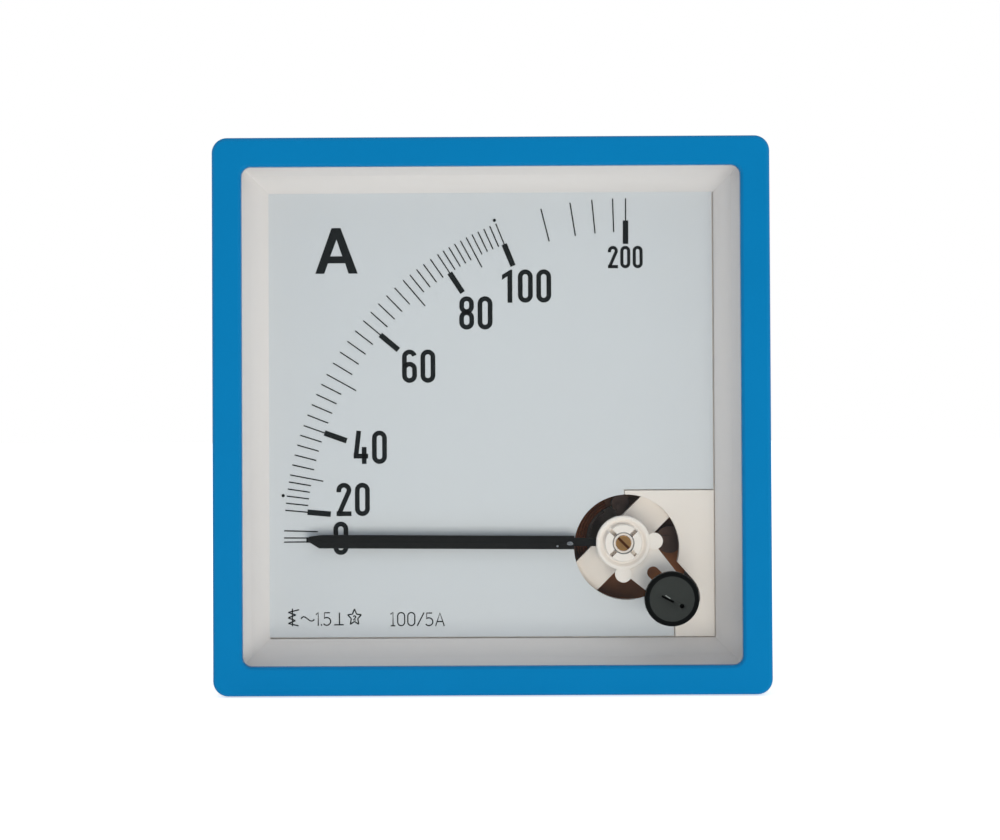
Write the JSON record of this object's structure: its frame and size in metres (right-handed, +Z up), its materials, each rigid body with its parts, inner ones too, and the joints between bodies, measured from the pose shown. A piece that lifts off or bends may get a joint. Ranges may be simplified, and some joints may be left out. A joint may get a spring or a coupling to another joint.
{
  "type": "analog panel meter",
  "caption": "Square moving-iron panel ammeter with a blue bezel, clear window, quarter-circle scale, black pointer, zero adjuster and rear screw terminals.",
  "frame": {"origin": "middle of the panel plane, at the back of the case flange", "axes": "+X right, +Z up, the dial faces -Y and the terminals point to +Y"},
  "size_m": [0.096, 0.075, 0.096],
  "materials": {
    "bezel_blue": "satin",
    "window_clear": "gloss",
    "adjuster_black": "satin",
    "case_black": "matte",
    "mask_white": "matte",
    "dial_paint": "matte",
    "scale_ink": "matte",
    "moulding_white": "satin",
    "steel_plated": "satin",
    "brass": "polished",
    "jewel": "gloss",
    "spring_bronze": "satin",
    "pointer_black": "matte",
    "iron": "satin",
    "bobbin_brown": "satin",
    "copper_enamelled": "gloss",
    "aluminium_sheet": "satin",
    "magnet_dark": "matte"
  },
  "bodies": {
    "root": {"bezel": "bezel_blue", "window": "window_clear", "case": "case_black", "mask": "mask_white", "dial_plate": "dial_paint", "scale_marks": "scale_ink", "carrier": "moulding_white", "carrier_screws": "steel_plated", "bridge": "moulding_white", "bridge_screws": "steel_plated", "bearing_bush": "moulding_white", "front_bearing_screw": "brass", "front_jewel": "jewel", "fixed_vane": "iron", "coil_bobbin": "bobbin_brown", "coil_winding": "copper_enamelled", "damping_magnets": "magnet_dark", "magnet_yoke": "steel_plated", "pillars": "brass", "coil_spacers": "steel_plated", "pillar_nuts": "steel_plated", "rear_plate": "moulding_white", "rear_bearing_screw": "brass", "rear_jewel": "jewel", "lead_left": "copper_enamelled", "lead_right": "copper_enamelled", "lead_lugs": "steel_plated", "stud_left": "brass", "stud_right": "brass", "flat_washers": "steel_plated", "lock_washers": "steel_plated", "fixing_nuts": "brass", "clamp_nuts": "brass"},
    "adjuster": {"zero_adjuster": "adjuster_black"},
    "lever": {"zero_lever": "moulding_white", "spring_stud": "brass", "hairspring": "spring_bronze"},
    "moving_system": {"spindle": "steel_plated", "pointer_carrier": "pointer_black", "pointer": "pointer_black", "balance_arm": "brass", "balance_weights": "brass", "moving_vane": "iron", "spring_collet": "brass", "damping_vane": "aluminium_sheet"}
  },
  "joints": [
    {"name": "zero_adjust_turn", "type": "hinge", "parent": "root", "child": "adjuster", "pos_m": [0.0307, 0, -0.0315], "axis": [0, 1, 0], "range_deg": [-25, 25]},
    {"name": "zero_lever_turn", "type": "hinge", "parent": "root", "child": "lever", "pos_m": [0.0227, 0, -0.0222], "axis": [0, 1, 0], "range_deg": [-3, 3]},
    {"name": "pointer_swing", "type": "hinge", "parent": "lever", "child": "moving_system", "pos_m": [0.0227, 0, -0.0222], "axis": [0, 1, 0], "range_deg": [0, 92], "stiffness_Nm_per_rad": 0.00002}
  ],
  "couplings": [
    {"joint": "zero_lever_turn", "follows": "zero_adjust_turn", "ratio": -0.06841}
  ]
}
